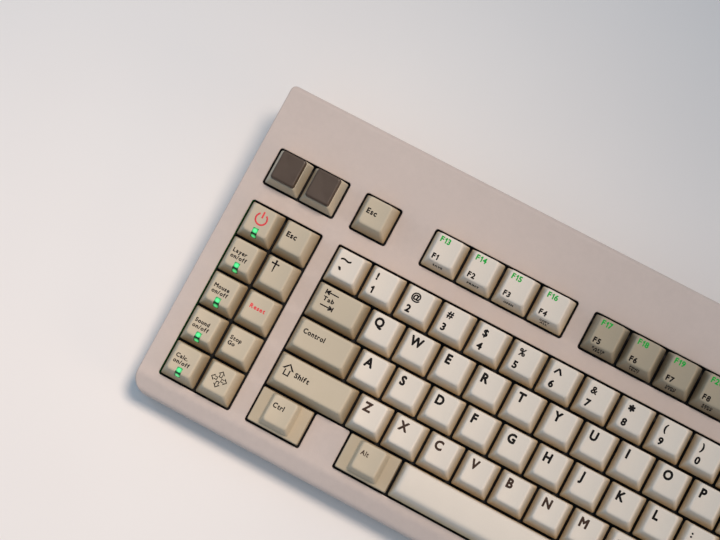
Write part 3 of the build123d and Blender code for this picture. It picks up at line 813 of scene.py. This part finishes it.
def pair(upper, lower, tint=DARK):
    if upper == "~":
        return [(word(upper, 5.2, 5.4, 0.022), 1.7, 6.6, tint), (word(lower, 5.4), 2.2, 13.6, tint)]
    if upper == "*":
        return [(word(upper, 5.2), 1.75, 7.2, tint), (word(lower, 3.75), 1.75, 12.7, tint)]
    if upper == "^":
        return [(caret(3.6, 2.7, 0.95), 1.75, 5.6, tint), (word(lower, 3.75), 1.75, 12.7, tint)]
    low = {"_": 2.2}.get(upper, 0.0)
    bold = SIGN_BOLD if upper in "@#$%&" else BOLD
    return [(word(upper, 3.65, bold=bold), 1.75, 6.0 - low, tint), (word(lower, 3.75), 1.75, 12.7, tint)]


def lines(*texts, height=2.1, left=1.15, first=6.8, spacing=2.8, tint=DARK, bold=SMALL_BOLD):
    return [(word(text, height, bold=bold), left, first + i * spacing, tint) for i, text in enumerate(texts)]


def row_letters(text, tint=DARK):
    return [letter(character, tint) for character in text]


FRONT_WORDS = [
    ("save",), ("print",), ("open",), ("copy", "all"), ("paste", "text"), ("find", "text"), ("undo", "step"),
    ("redo", "step"), ("top",), ("end",), ("line", "left"), ("line", "right"),
]


def function_legend(number):
    return [
        (word(f"F{number + 12}", 2.85, bold=SMALL_BOLD), 1.2, 3.95, GREEN),
        (word(f"F{number}", 2.8), 1.2, 12.8, DARK),
    ]


def shift_legend():
    arrow = turned(outline_arrow(6.2, 6.2, 3.0, 3.1, 0.6), 0, 3.1, 0)
    return [(arrow, 1.4, 9.6, DARK), (word("Shift", 2.6, 7.8, SMALL_BOLD), 8.5, 8.5, DARK)]


def arrow_legend(degrees):
    return [(turned(outline_arrow(5.0, 5.6, 2.2, 2.8, 0.42), degrees, 6.1, 0), 0.0, 7.2, DARK)]


def star_of_arrows():
    arrow = turned(outline_arrow(3.5, 3.4, 1.7, 1.8, 0.4), 0, 0, 0.95)
    return joined(*[turned(arrow, turn) for turn in (0, 90, 180, 270)])


TAB_MARKS = [
    (tab_arrow(-1, 6.6, 2.4), 6.2, 2.9, DARK),
    (word("Tab", 2.25, 5.8, SMALL_BOLD), 2.9, 7.3, DARK),
    (tab_arrow(1, 6.6, 2.4), 6.2, 9.6, DARK),
]

CTRL = [[(word("Ctrl", 2.6, 5.8, SMALL_BOLD), 1.3, 6.3, DARK)]]
ALT = [[(word("Alt", 2.45, 4.0, 0.03), 1.1, 6.3, BROWN)]]
NUMBER_PAIRS = ("~`", "!1", "@2", "#3", "$4", "%5", "^6", "&7", "*8", "(9", ")0", "_-", "+=")
LEGENDS = {
    "escape_key": [lines("Esc", height=2.75, left=1.5, first=8.1)],
    "first_function_keys": [function_legend(n) for n in (1, 2, 3, 4)],
    "middle_function_keys": [function_legend(n) for n in (5, 6, 7, 8)],
    "last_function_keys": [function_legend(n) for n in (9, 10, 11, 12)],
    "system_keys": [lines("Print"), lines("Scroll", "lock"), lines("Pause")],
    "number_row_keys": [pair(p[0], p[1]) for p in NUMBER_PAIRS],
    "backspace_key": [lines("Back", "space", height=2.3, left=1.6, first=6.0, spacing=3.4)],
    "tab_key": [TAB_MARKS],
    "upper_letter_keys": row_letters("QWERTYUIOP") + [pair("{", "["), pair("}", "]")],
    "backslash_key": [pair("|", "\\")],
    "control_key": [[(word("Control", 2.6, 11.4, SMALL_BOLD), 2.0, 6.5, DARK)]],
    "home_letter_keys": row_letters("ASDFGHJKL") + [pair(":", ";"), pair('"', "'")],
    "enter_key": [[(word("Enter", 2.6, bold=SMALL_BOLD), 2.0, 6.5, DARK)]],
    "left_shift_key": [shift_legend()],
    "lower_letter_keys": (
        row_letters("ZXCVBNM", BROWN) + [pair(p[0], p[1], BROWN) for p in ("<,", ">.", "?/")]
    ),
    "right_shift_key": [shift_legend()],
    "left_ctrl_key": CTRL,
    "left_alt_key": ALT,
    "right_alt_key": ALT,
    "right_ctrl_key": CTRL,
    "editing_keys": [
        lines("Insert"), lines("Home"), lines("Page", "up"),
        lines("Delete"), lines("End"), lines("Page", "down"),
    ],
    "up_arrow_key": [arrow_legend(0)],
    "left_arrow_key": [arrow_legend(90)],
    "down_arrow_key": [arrow_legend(180)],
    "right_arrow_key": [arrow_legend(270)],
    "number_pad_keys": (
        [lines("Num", "lock")] + row_letters("/*-") + row_letters("789456123") + [letter(".")]
    ),
    "pad_plus_key": [letter("+")],
    "pad_enter_key": [lines("Enter")],
    "pad_zero_key": [letter("0")],
    "lamp_key_1": [[(power_mark(3.3, 0.85), 6.3, 5.9, RED)]],
    "lamp_key_2": [lines("Layer", "on/off")],
    "lamp_key_3": [lines("Mouse", "on/off")],
    "lamp_key_4": [lines("Sound", "on/off")],
    "lamp_key_5": [lines("Calc.", "on/off")],
    "block_key_1": [lines("Esc", height=2.75, left=1.5, first=7.5)],
    "block_key_2": [[(dagger(6.2, 4.0), 3.6, 7.0, DARK)]],
    "block_key_3": [[(word("Reset", 2.25, 8.2, SMALL_BOLD), 2.0, 7.7, RED)]],
    "block_key_4": [lines("Stop", "Go", first=6.4)],
    "block_key_5": [[(star_of_arrows(), 6.15, 7.0, DARK)]],
}
# key layout in key units, as in the frame
F_ROW = -1.5


def row_of_keys(first, count, y, shape):
    return [(first + i, y, 1.0, 1.0, shape) for i in range(count)]


KEYS = {
    "escape_key": [(0.0, F_ROW, 1.0, 1.0, "tall")],
    "first_function_keys": row_of_keys(2.0, 4, F_ROW, "tall"),
    "middle_function_keys": row_of_keys(6.5, 4, F_ROW, "tall"),
    "last_function_keys": row_of_keys(11.0, 4, F_ROW, "tall"),
    "system_keys": row_of_keys(15.5, 3, F_ROW, "tall"),
    "number_row_keys": row_of_keys(0.0, 13, 0.0, "tall"),
    "backspace_key": [(13.0, 0.0, 2.0, 1.0, "tall")],
    "tab_key": [(0.0, 1.0, 1.5, 1.0, "upper")],
    "upper_letter_keys": row_of_keys(1.5, 12, 1.0, "upper"),
    "backslash_key": [(13.5, 1.0, 1.5, 1.0, "upper")],
    "control_key": [(0.0, 2.0, 1.75, 1.0, "home")],
    "home_letter_keys": row_of_keys(1.75, 11, 2.0, "home"),
    "enter_key": [(12.75, 2.0, 2.25, 1.0, "home")],
    "left_shift_key": [(0.0, 3.0, 2.25, 1.0, "lower")],
    "lower_letter_keys": row_of_keys(2.25, 10, 3.0, "lower"),
    "right_shift_key": [(12.25, 3.0, 2.75, 1.0, "lower")],
    "left_ctrl_key": [(0.0, 4.0, 1.5, 1.0, "stepped")],
    "left_alt_key": [(2.5, 4.0, 1.5, 1.0, "stepped")],
    "space_bar": [(4.0, 4.0, 7.0, 1.0, "lower")],
    "right_alt_key": [(11.0, 4.0, 1.5, 1.0, "stepped")],
    "right_ctrl_key": [(13.5, 4.0, 1.5, 1.0, "stepped")],
    "editing_keys": row_of_keys(15.5, 3, 0.0, "tall") + row_of_keys(15.5, 3, 1.0, "upper"),
    "up_arrow_key": [(16.5, 3.0, 1.0, 1.0, "lower")],
    "left_arrow_key": [(15.5, 4.0, 1.0, 1.0, "lower")],
    "down_arrow_key": [(16.5, 4.0, 1.0, 1.0, "lower")],
    "right_arrow_key": [(17.5, 4.0, 1.0, 1.0, "lower")],
    "number_pad_keys": (
        row_of_keys(19.0, 4, 0.0, "tall")
        + row_of_keys(19.0, 3, 1.0, "upper")
        + row_of_keys(19.0, 3, 2.0, "home")
        + row_of_keys(19.0, 3, 3.0, "lower")
        + row_of_keys(21.0, 1, 4.0, "lower")
    ),
    "pad_plus_key": [(22.0, 1.0, 1.0, 2.0, "home")],
    "pad_enter_key": [(22.0, 3.0, 1.0, 2.0, "lower")],
    "pad_zero_key": [(19.0, 4.0, 2.0, 1.0, "lower")],
}
BLOCK_ROWS = ("tall", "upper", "home", "lower", "lower")
for row, row_shape in enumerate(BLOCK_ROWS):
    KEYS[f"lamp_key_{row + 1}"] = [(-2.5, float(row), 1.0, 1.0, row_shape)]
    KEYS[f"block_key_{row + 1}"] = [(-1.5, float(row), 1.0, 1.0, row_shape)]
BLANKS = {"left_blank_key": -2.5, "right_blank_key": -1.5}


# ---- stems, windows, covers ----
STABILISER_SHORT = 11.9
STABILISER_SPACE = 57.15
SLIDER_BORE = 2.75
POST_RADIUS = 2.75


def add_slider(bm, dx, dy):
    """Slider of a switch, hollow below for the spring."""
    base = outline(9.0, 7.4, 0.15, 0.0, 4, 4)
    shoulder = outline(6.8, 5.6, 0.15, 0.0, 4, 4)
    angles = [math.atan2(y, x) for x, y in base]
    bore = [(SLIDER_BORE * math.cos(angle), SLIDER_BORE * math.sin(angle)) for angle in angles]
    levels = ((bore, 4.9), (bore, 1.6), (base, 1.6), (base, 5.5), (shoulder, 5.5), (shoulder, 6.6))
    rings = stack(bm, [[(x + dx, y + dy, z - CAP_BASE) for x, y in points] for points, z in levels], 1)
    bm.faces.new(rings[0]).material_index = 1
    bm.faces.new(rings[-1]).material_index = 1


def add_stem(bm, ceiling, dx=0.0, dy=0.0, slider=True):
    """Slider of the switch with its cross, and the round post of the cap over it."""
    low = -CAP_BASE
    if slider:
        add_slider(bm, dx, dy)
    else:
        add_box(bm, dx - 2.2, dx + 2.2, dy - 2.7, dy + 2.7, low + 0.2, low + 6.6, 1)
    add_box(bm, dx - 2.0, dx + 2.0, dy - 0.6, dy + 0.6, low + 6.6, 0.45, 1)
    add_box(bm, dx - 0.6, dx + 0.6, dy - 2.0, dy + 2.0, low + 6.6, 0.45, 1)
    add_rod(bm, POST_RADIUS, dx, dy, 0.42, ceiling)


def add_stems(bm, wide, deep, ceiling):
    add_stem(bm, ceiling)
    if wide >= 7:
        shifts = ((-STABILISER_SPACE, 0), (STABILISER_SPACE, 0))
    elif wide >= 2:
        shifts = ((-STABILISER_SHORT, 0), (STABILISER_SHORT, 0))
    elif deep >= 2:
        shifts = ((0, -STABILISER_SHORT), (0, STABILISER_SHORT))
    else:
        shifts = ()
    for dx, dy in shifts:
        add_stem(bm, ceiling, dx, dy, slider=False)


WINDOW_HALF = 1.45
SEAM = plastic("window_seam_dark_green", linear(8, 34, 18), (0.2, 0.35), wear=0.0)


def window_patch(bm, surface, count_x, count_y, glow_layer, centre_glow, edge_glow, thick):
    """Cushioned closed patch on a surface: surface(u, v, lift) with u, v from 0 to 1."""
    def level(i, j):
        """Zero on the rim, one inside."""
        return min(1.0, min(i, count_x - i, j, count_y - j) / 1.5)
    top, base = {}, {}
    for i in range(count_x + 1):
        for j in range(count_y + 1):
            u, v = i / count_x, j / count_y
            top[i, j] = bm.verts.new(surface(u, v, thick * level(i, j)))
            base[i, j] = bm.verts.new(surface(u, v, -0.35))
            distance = math.hypot((u - 0.5) * 1.9, (v - 0.45) * 1.9)
            glow = max(0.0, 1 - distance ** 2)
            top[i, j][glow_layer] = edge_glow + (centre_glow - edge_glow) * glow
            base[i, j][glow_layer] = edge_glow
    for i in range(count_x):
        for j in range(count_y):
            bm.faces.new((top[i, j], top[i + 1, j], top[i + 1, j + 1], top[i, j + 1]))
            bm.faces.new((base[i, j], base[i, j + 1], base[i + 1, j + 1], base[i + 1, j]))
    rim = [(i, 0) for i in range(count_x)] + [(count_x, j) for j in range(count_y)]
    rim += [(i, count_y) for i in range(count_x, 0, -1)] + [(0, j) for j in range(count_y, 0, -1)]
    for k, here in enumerate(rim):
        there = rim[(k + 1) % len(rim)]
        bm.faces.new((top[here], top[there], base[there], base[here])[::-1])


def window_surface(cap, x, along, lift):
    """Point over the cap: along is the distance behind its front top edge, negative down the slope."""
    front_edge = cap.middle - cap.face_d / 2
    slope_length = (cap.front_face(0, 1) - cap.front_face(0, 0)).length
    share = 1 - cap.round / cap.height
    reach = (1 - share) * slope_length
    rising, level = Vector((0, -0.94, 0.34)), Vector((0, 0, 1))
    if along >= cap.round:
        y = front_edge + along
        return Vector((x, y, cap.top(x, y))) + level * lift
    if along <= -reach:
        return cap.front_face(x, 1 + along / slope_length) + rising * lift
    t = (along + reach) / (reach + cap.round)
    low = cap.front_face(x, share)
    edge = Vector((x, front_edge, cap.top(x, front_edge)))
    high = Vector((x, front_edge + cap.round, cap.top(x, front_edge + cap.round)))
    point = low * (1 - t) ** 2 + edge * 2 * t * (1 - t) + high * t * t
    return point + rising.lerp(level, t).normalized() * lift


def window_piece(name, cap, matrix, material, half, *patches):
    """Closed strips over the front edge of a cap: (front, rear, steps, middle glow, rim glow, thickness)."""
    bm = bmesh.new()
    layer = bm.verts.layers.float.new("glow")
    for front, rear, steps, centre_glow, edge_glow, thick in patches:
        def surface(u, v, lift):
            return window_surface(cap, half * (2 * u - 1), front + (rear - front) * v, lift)
        window_patch(bm, surface, *steps, layer, centre_glow, edge_glow, thick)
    return new_piece(name, bm, matrix, [material])


def own(piece, node):
    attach(piece, node + "_body")
    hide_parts(node)
    weighted = piece.modifiers.new("even_normals", "WEIGHTED_NORMAL")
    weighted.keep_sharp = True
    weighted.weight = 80
    return piece


def make_key(name, node, key, legends, front_words=()):
    x, y, wide, deep, shape = key
    stepped = shape == "stepped"
    cap = Cap(wide, deep, "lower" if stepped else shape, stepped)
    bm = bmesh.new()
    bm.verts.layers.float.new("depth")
    cap_shell(bm, cap)
    add_stems(bm, wide, deep, cap.height - 1.6)
    bmesh.ops.recalc_face_normals(bm, faces=bm.faces)
    for drawn, left, rear, tint in legends:
        add_film(bm, drawn, on_top(cap, left, rear), tint)
    for i, text in enumerate(front_words):
        shape_of_word = word(text.upper(), 2.0, 1.28 * len(text), 0.055)
        low, high = extent(shape_of_word[0], 0)
        centred = [(px - high / 2, py) for px, py in shape_of_word[0]], shape_of_word[1]
        rise = 0.5 if len(front_words) == 1 else 0.6 - 0.26 * i
        add_film(bm, centred, on_front(cap, -0.5, rise), DARK)
    matrix = placing(*field_centre(x, y, wide, deep), CAP_BASE)
    piece = new_piece(name, bm, matrix, [CAP_PLASTIC[SLOT_OF[node]], STEM] + INKS)
    own(piece, node)
    if node.startswith("lamp_key"):
        panes = ((0.4, 3.05, (8, 8), 1.0, 0.1, 0.16), (-4.3, -0.35, (8, 10), 0.9, 0.0, 0.16))
        window = window_piece(f"{node}_window", cap, matrix, LAMP_GLOW, WINDOW_HALF, *panes)
        strip = (-4.5, 0.6, (6, 14), 0.0, 0.0, 0.05)
        seam = window_piece(f"{node}_window_seam", cap, matrix, SEAM, WINDOW_HALF + 0.12, strip)
        for made in (window, seam):
            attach(made, node + "_body")


function_words = iter(FRONT_WORDS)
for node, keys in KEYS.items():
    for index, key in enumerate(keys):
        name = node + "_cap" if len(keys) == 1 else f"{node}_cap_{index + 1}"
        words = next(function_words) if node.endswith("function_keys") else ()
        legend = LEGENDS.get(node)
        make_key(name, node, key, legend[index] if legend else (), words)


def make_blank(node, x):
    """Key with a plain base and a raised dark cover."""
    cap = Cap(1.0, 1.0, "tall")
    height = 6.9
    bm = bmesh.new()
    profile = (
        (cap.w - 0.24, cap.d - 0.24, 0.6, 0.0, 0.0), (cap.w, cap.d, 0.7, 0.14, 0.0),
        (15.6, 16.5, 1.1, 3.7, 0.48), (13.65, 15.4, 1.4, 6.62, 0.86), (13.3, 15.1, 1.4, 6.86, 0.9),
        (12.8, 14.7, 1.3, height, 0.95), (9.0, 11.0, 1.0, height, 0.95), (1.4, 3.4, 0.5, height, 0.95),
    )
    made = stack(bm, [cap.skirt(*level) for level in profile])
    close_ring(bm, made[-1], cap.nx, cap.ny, False)
    hollow_profile = (
        (cap.w - 2.8, cap.d - 2.8, 0.5, 0.0, 0.0), (10.6, 12.4, 0.8, 5.2, 0.9), (9.6, 11.4, 0.7, 5.4, 0.9),
        (1.4, 3.2, 0.4, 5.4, 0.9),
    )
    hollow = stack(bm, [cap.skirt(*level) for level in hollow_profile], inward=True)
    bridge(bm, hollow[0], made[0])
    close_ring(bm, hollow[-1], cap.nx, cap.ny, False, flip=True)
    add_stems(bm, 1.0, 1.0, 6.0)
    bmesh.ops.recalc_face_normals(bm, faces=bm.faces)
    matrix = placing(*field_centre(x, F_ROW, 1.0, 1.0), CAP_BASE)
    own(new_piece(node + "_base", bm, matrix, [BEIGE, STEM]), node)
    bm = bmesh.new()
    lid = (
        (12.6, 14.5, 1.1, -0.1, 1.0), (12.9, 14.8, 1.2, 0.12, 1.0), (12.75, 14.65, 1.2, 1.9, 1.0),
        (12.35, 14.3, 1.1, 2.55, 1.05), (11.9, 13.9, 1.0, 2.85, 1.05), (11.4, 13.4, 1.0, 2.98, 1.08),
        (10.6, 12.6, 0.9, 3.0, 1.08), (6.6, 8.6, 0.8, 2.94, 1.08), (1.2, 3.2, 0.5, 2.9, 1.08),
    )
    made = stack(bm, [cap.skirt(w, d, r, height + rise, cy) for w, d, r, rise, cy in lid])
    close_ring(bm, made[-1], cap.nx, cap.ny, False)
    under = add_ring(bm, cap.skirt(1.2, 3.2, 0.5, height - 0.1, 1.0))
    bridge(bm, under, made[0])
    close_ring(bm, under, cap.nx, cap.ny, False, flip=True)
    own(new_piece(node + "_cover", bm, matrix, [COVER]), node)


for node, x in BLANKS.items():
    make_blank(node, x)


# ---- CAD nodes that stay ----
KEPT = {
    "top_case": HOUSING, "bottom_case": HOUSING, "switch_plate": PLATE, "circuit_board": BOARD,
    "switch_lower_housings": SWITCH, "switch_upper_housings": SWITCH, "switch_springs": STEEL,
    "switch_contacts": BRASS, "stabiliser_housings": SWITCH, "stabiliser_wires": STEEL,
    "indicator_lamps": LAMP_BODY, "plate_screws": ZINC, "case_screws": ZINC, "rubber_feet": RUBBER,
    "cable_socket": SOCKET, "socket_board": BOARD, "left_tilt_foot": FOOT, "right_tilt_foot": FOOT,
}
for node, material in KEPT.items():
    mesh = NODES[node].data
    mesh.materials.clear()
    mesh.materials.append(material)
    for polygon in mesh.polygons:
        polygon.material_index = 0

# the inside faces of the upper housing are painted near-black as shade, so the openings read as dark lines
case_mesh = NODES["top_case"].data
case_mesh.materials.append(INSIDE_SHADE)
case_mesh.materials.append(PAINTED_LAMP_SPILL)
case_low, case_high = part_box("top_case")
leak_x = field_centre(-2.5, 0, 0, 0)[0]
leak_rear = field_centre(0, 0, 0, 0)[1] + 3
leak_front = field_centre(0, 5, 0, 0)[1] - 3
for polygon in case_mesh.polygons:
    centre = polygon.center / MM
    y = (centre.y - ANCHOR_Y) * COS + (centre.z - ANCHOR_Z) * SIN
    z = -(centre.y - ANCHOR_Y) * SIN + (centre.z - ANCHOR_Z) * COS
    inside = case_low.x / MM + 3 < centre.x < case_high.x / MM - 3
    inside = inside and case_low.y / MM + 6 < centre.y < case_high.y / MM - 3
    wall = abs(polygon.normal.z) < 0.3 and centre.y > case_low.y / MM + 10
    if inside and z < CASE_TOP - 0.3 and (wall or polygon.normal.z < -0.3):
        polygon.material_index = 1
        # painted light: upright inside walls left of the lamp keys glow faint green, as if lit by the lamps
        upright = abs(polygon.normal.z) < 0.5
        if upright and centre.x < leak_x + 0.5 and leak_front < y < leak_rear:
            polygon.material_index = 2

# ---- floor, light, camera ----
def make_floor():
    bm = bmesh.new()
    steps, half = 24, 2.4
    grid = {}
    for i in range(steps + 1):
        for j in range(steps + 1):
            grid[i, j] = bm.verts.new((-half + 2 * half * i / steps, -half + 2 * half * j / steps, 0))
    for i in range(steps):
        for j in range(steps):
            bm.faces.new((grid[i, j], grid[i + 1, j], grid[i + 1, j + 1], grid[i, j + 1]))
    n = Nodes("pale_floor")
    tint = n.mix(n.spread(n.noise(220, 2)), linear(228, 223, 219), linear(232, 228, 224))
    n.finish(tint, n.spread(n.noise(60), 0.6, 0.75), n.bump(n.noise(1.2, 3), 0.05, 0.02))
    floor = new_piece("floor", bm, Matrix.Identity(4), [n.material])


make_floor()


def new_light(name, kind, place, aim, power, colour):
    light = bpy.data.lights.new(name, kind)
    light.energy = power
    light.color = colour
    lamp = add_object(name, light)
    lamp.location = place
    lamp.rotation_euler = (Vector(aim) - Vector(place)).to_track_quat("-Z", "Y").to_euler()
    return light


def area_light(name, place, aim, size, power, colour):
    light = new_light(name, "AREA", place, aim, power, colour)
    light.shape = "RECTANGLE"
    light.size = light.size_y = size


def spot_light(name, place, aim, cone, power):
    light = new_light(name, "SPOT", place, aim, power, (1.0, 0.825, 0.69))
    light.spot_size = math.radians(cone)
    light.spot_blend = 1.0
    light.shadow_soft_size = 0.24


spot_light("key_light", (0.08, 0.42, 1.25), (-0.32, -0.16, 0.0), 39.5, 68)
spot_light("right_light", (0.66, 0.42, 1.15), (0.42, -0.05, 0.0), 29, 56)
area_light("left_cool_light", (-1.4, 0.1, 0.6), (-0.1, 0.0, 0.0), 0.8, 3, (0.66, 0.82, 1.0))
area_light("right_warm_light", (1.1, -0.1, 0.42), (-0.1, 0.0, 0.0), 0.5, 3.2, (1.0, 0.70, 0.44))

world = bpy.data.worlds.new("studio")
bpy.context.scene.world = world
world.use_nodes = True
background = world.node_tree.nodes["Background"]
background.inputs[0].default_value = (0.60, 0.79, 1.0, 1.0)
background.inputs[1].default_value = 0.46
bpy.context.scene.view_settings.view_transform = "Standard"

camera_data = bpy.data.cameras.new("camera")
camera_data.lens = 93.5
camera_data.sensor_width = 36
camera_data.clip_start = 0.01
camera = add_object("camera", camera_data)
right = Vector((0.8785, 0.4775, -0.0184)).normalized()
forward = Vector((-0.1218, 0.1866, -0.9749)).normalized()
up = right.cross(forward).normalized()
right = forward.cross(up).normalized()
turn = Matrix((right, up, -forward)).transposed().to_4x4()
camera.matrix_world = Matrix.Translation((-0.0711, -0.1506, 0.9064)) @ turn
bpy.context.scene.camera = camera
